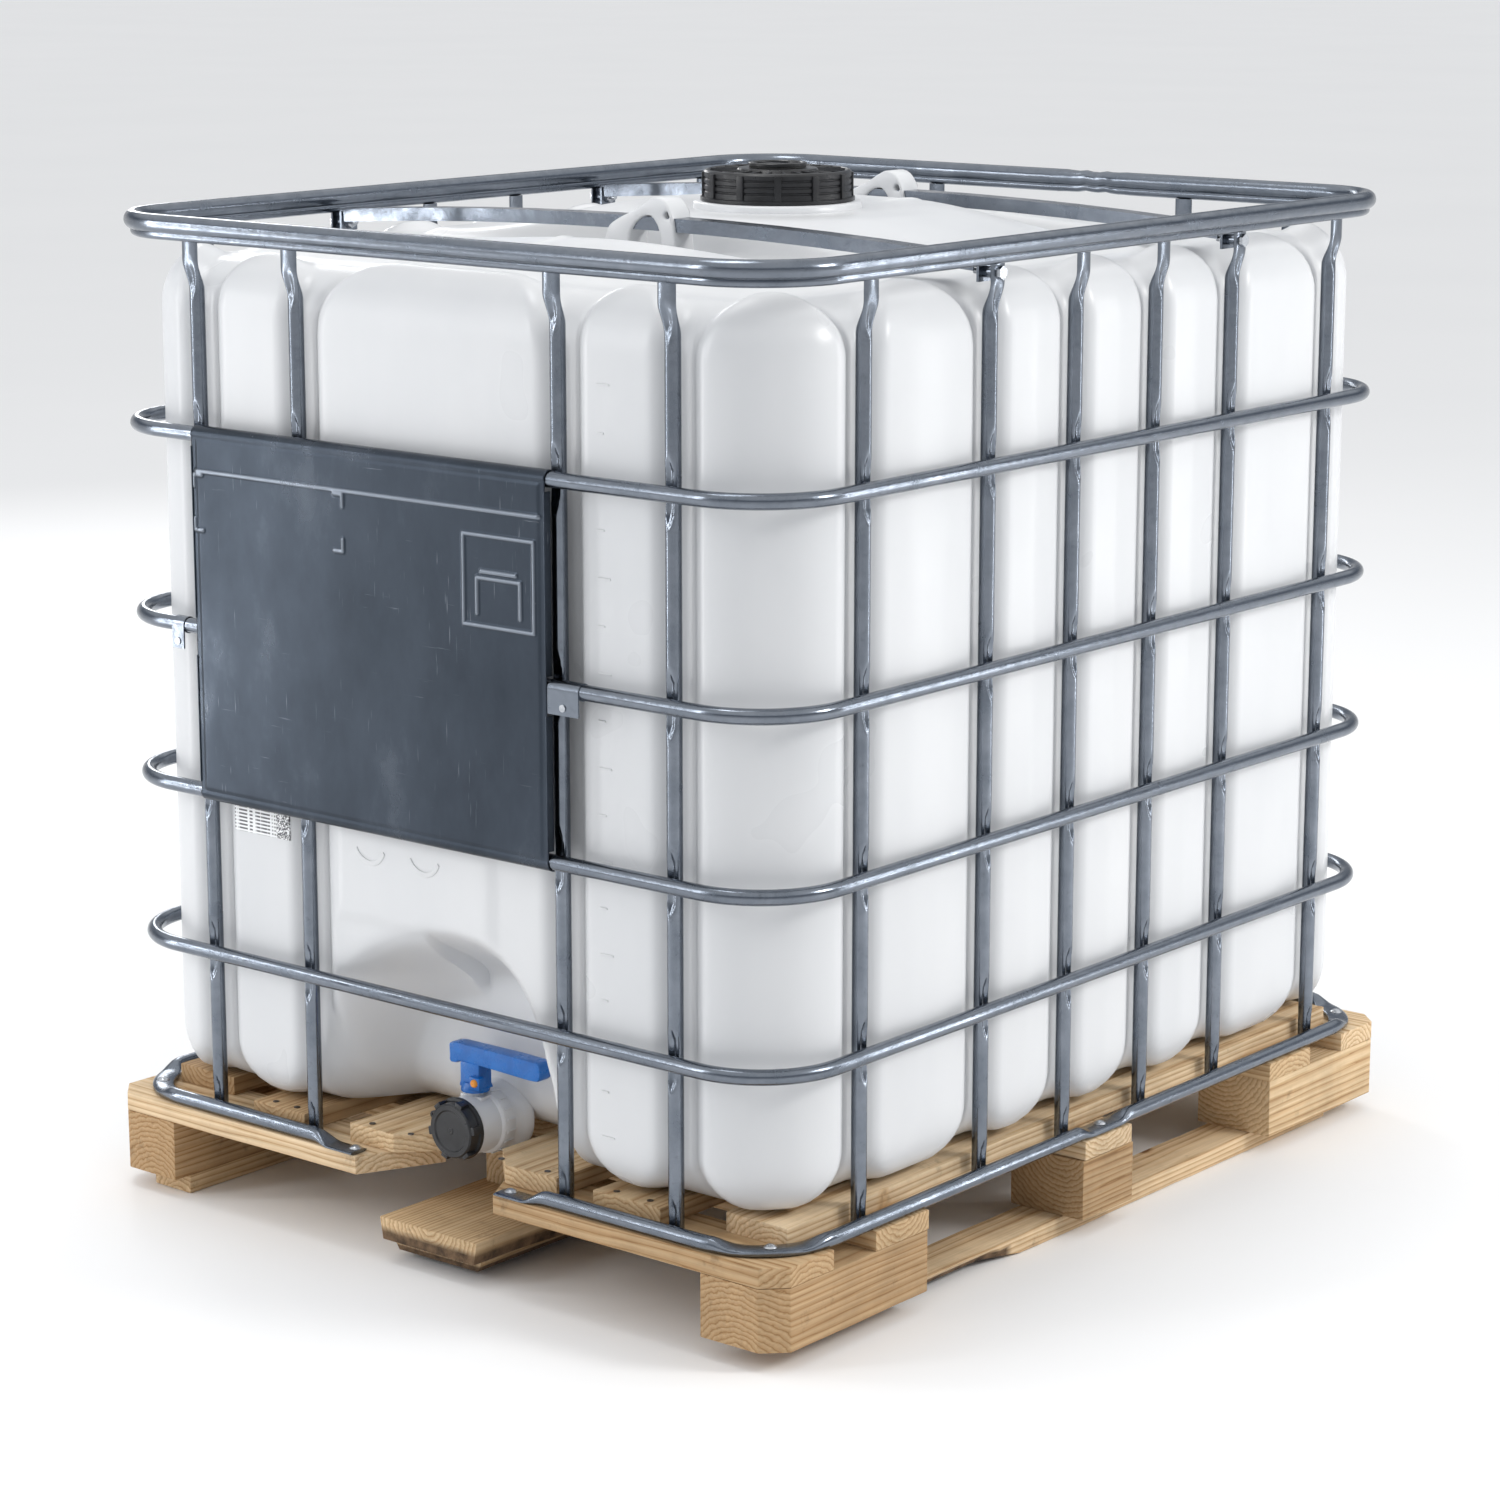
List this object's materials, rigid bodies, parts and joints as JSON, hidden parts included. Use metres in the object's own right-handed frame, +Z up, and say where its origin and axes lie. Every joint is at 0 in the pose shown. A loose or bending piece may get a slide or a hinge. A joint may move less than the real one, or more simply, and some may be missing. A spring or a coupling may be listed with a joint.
{
  "type": "intermediate bulk container",
  "caption": "Translucent plastic tank in a tubular steel cage on a wooden pallet, with a screw lid on top and a lever outlet valve at the front; stores and moves liquids.",
  "frame": {"origin": "on the floor under the centre of the pallet", "axes": "+Z up; -Y is the front with the outlet valve and the label plate; +X is to the right seen from the front"},
  "size_m": [1, 1.2018, 1.1808],
  "materials": {
    "pine": "rough sawn",
    "nail_steel": "dark wire",
    "galvanised_tube": "zinc coated",
    "zinc_bolt": "bright zinc",
    "plate_steel": "bare rolled sheet",
    "bottle_plastic": "translucent natural",
    "black_plastic": "satin",
    "seal_rubber": "soft",
    "blue_plastic": "glossy",
    "grey_plastic": "plain",
    "orange_plastic": "plain"
  },
  "bodies": {
    "container": {"skid_right": "pine", "skid_left": "pine", "skid_centre": "pine", "sill_plank": "pine", "blocks_corner": "pine", "blocks_side": "pine", "blocks_centre": "pine", "lead_board_front": "pine", "lead_board_back": "pine", "cross_boards": "pine", "deck_boards": "pine", "deck_nails": "nail_steel", "top_rail": "galvanised_tube", "ring_lower": "galvanised_tube", "ring_plate_low": "galvanised_tube", "ring_plate_mid": "galvanised_tube", "ring_plate_top": "galvanised_tube", "base_rail": "galvanised_tube", "uprights_front": "galvanised_tube", "uprights_back": "galvanised_tube", "uprights_right": "galvanised_tube", "uprights_left": "galvanised_tube", "crossbars": "galvanised_tube", "base_screws": "zinc_bolt", "crossbar_bolts": "zinc_bolt", "bolt_spacers": "zinc_bolt", "clip_rivets": "zinc_bolt", "label_plate": "plate_steel", "plate_clips": "plate_steel", "bottle": "bottle_plastic", "bar_clip_front": "bottle_plastic", "bar_clip_back": "bottle_plastic", "valve_body": "bottle_plastic", "outlet_nut": "bottle_plastic"},
    "lid_lift": {"lid_gasket": "seal_rubber"},
    "lid_body": {"lid": "black_plastic"},
    "vent_lift": {"vent_seal": "seal_rubber"},
    "vent_body": {"vent_plug": "black_plastic"},
    "cap_lift": {"cap_seal": "seal_rubber"},
    "cap_body": {"dust_cap": "black_plastic"},
    "valve_lever": {"valve_handle": "blue_plastic", "butterfly_disc": "grey_plastic", "lock_screw": "orange_plastic"}
  },
  "joints": [
    {"name": "lid_rise", "type": "slide", "parent": "container", "child": "lid_lift", "axis": [0, 0, 1], "range_m": [0, 0.0202]},
    {"name": "lid_turn", "type": "hinge", "parent": "lid_lift", "child": "lid_body", "pos_m": [0, 0.019, 1.15], "axis": [0, 0, 1], "range_deg": [0, 720]},
    {"name": "vent_rise", "type": "slide", "parent": "lid_body", "child": "vent_lift", "axis": [0, 0, 1], "range_m": [0, 0.0062]},
    {"name": "vent_turn", "type": "hinge", "parent": "vent_lift", "child": "vent_body", "pos_m": [0, 0.019, 1.175], "axis": [0, 0, 1], "range_deg": [0, 540]},
    {"name": "cap_slide", "type": "slide", "parent": "container", "child": "cap_lift", "axis": [0, -1, 0], "range_m": [0, 0.0122]},
    {"name": "cap_turn", "type": "hinge", "parent": "cap_lift", "child": "cap_body", "pos_m": [0, -0.545, 0.152], "axis": [0, -1, 0], "range_deg": [0, 720]},
    {"name": "valve_turn", "type": "hinge", "parent": "container", "child": "valve_lever", "pos_m": [0, -0.512, 0.152], "axis": [0, 0, 1], "range_deg": [-90, 0]}
  ],
  "couplings": [
    {"joint": "lid_rise", "follows": "lid_turn", "m_per_rad": 0.0015915},
    {"joint": "vent_rise", "follows": "vent_turn", "m_per_rad": 0.00063662},
    {"joint": "cap_slide", "follows": "cap_turn", "m_per_rad": 0.00095493}
  ]
}
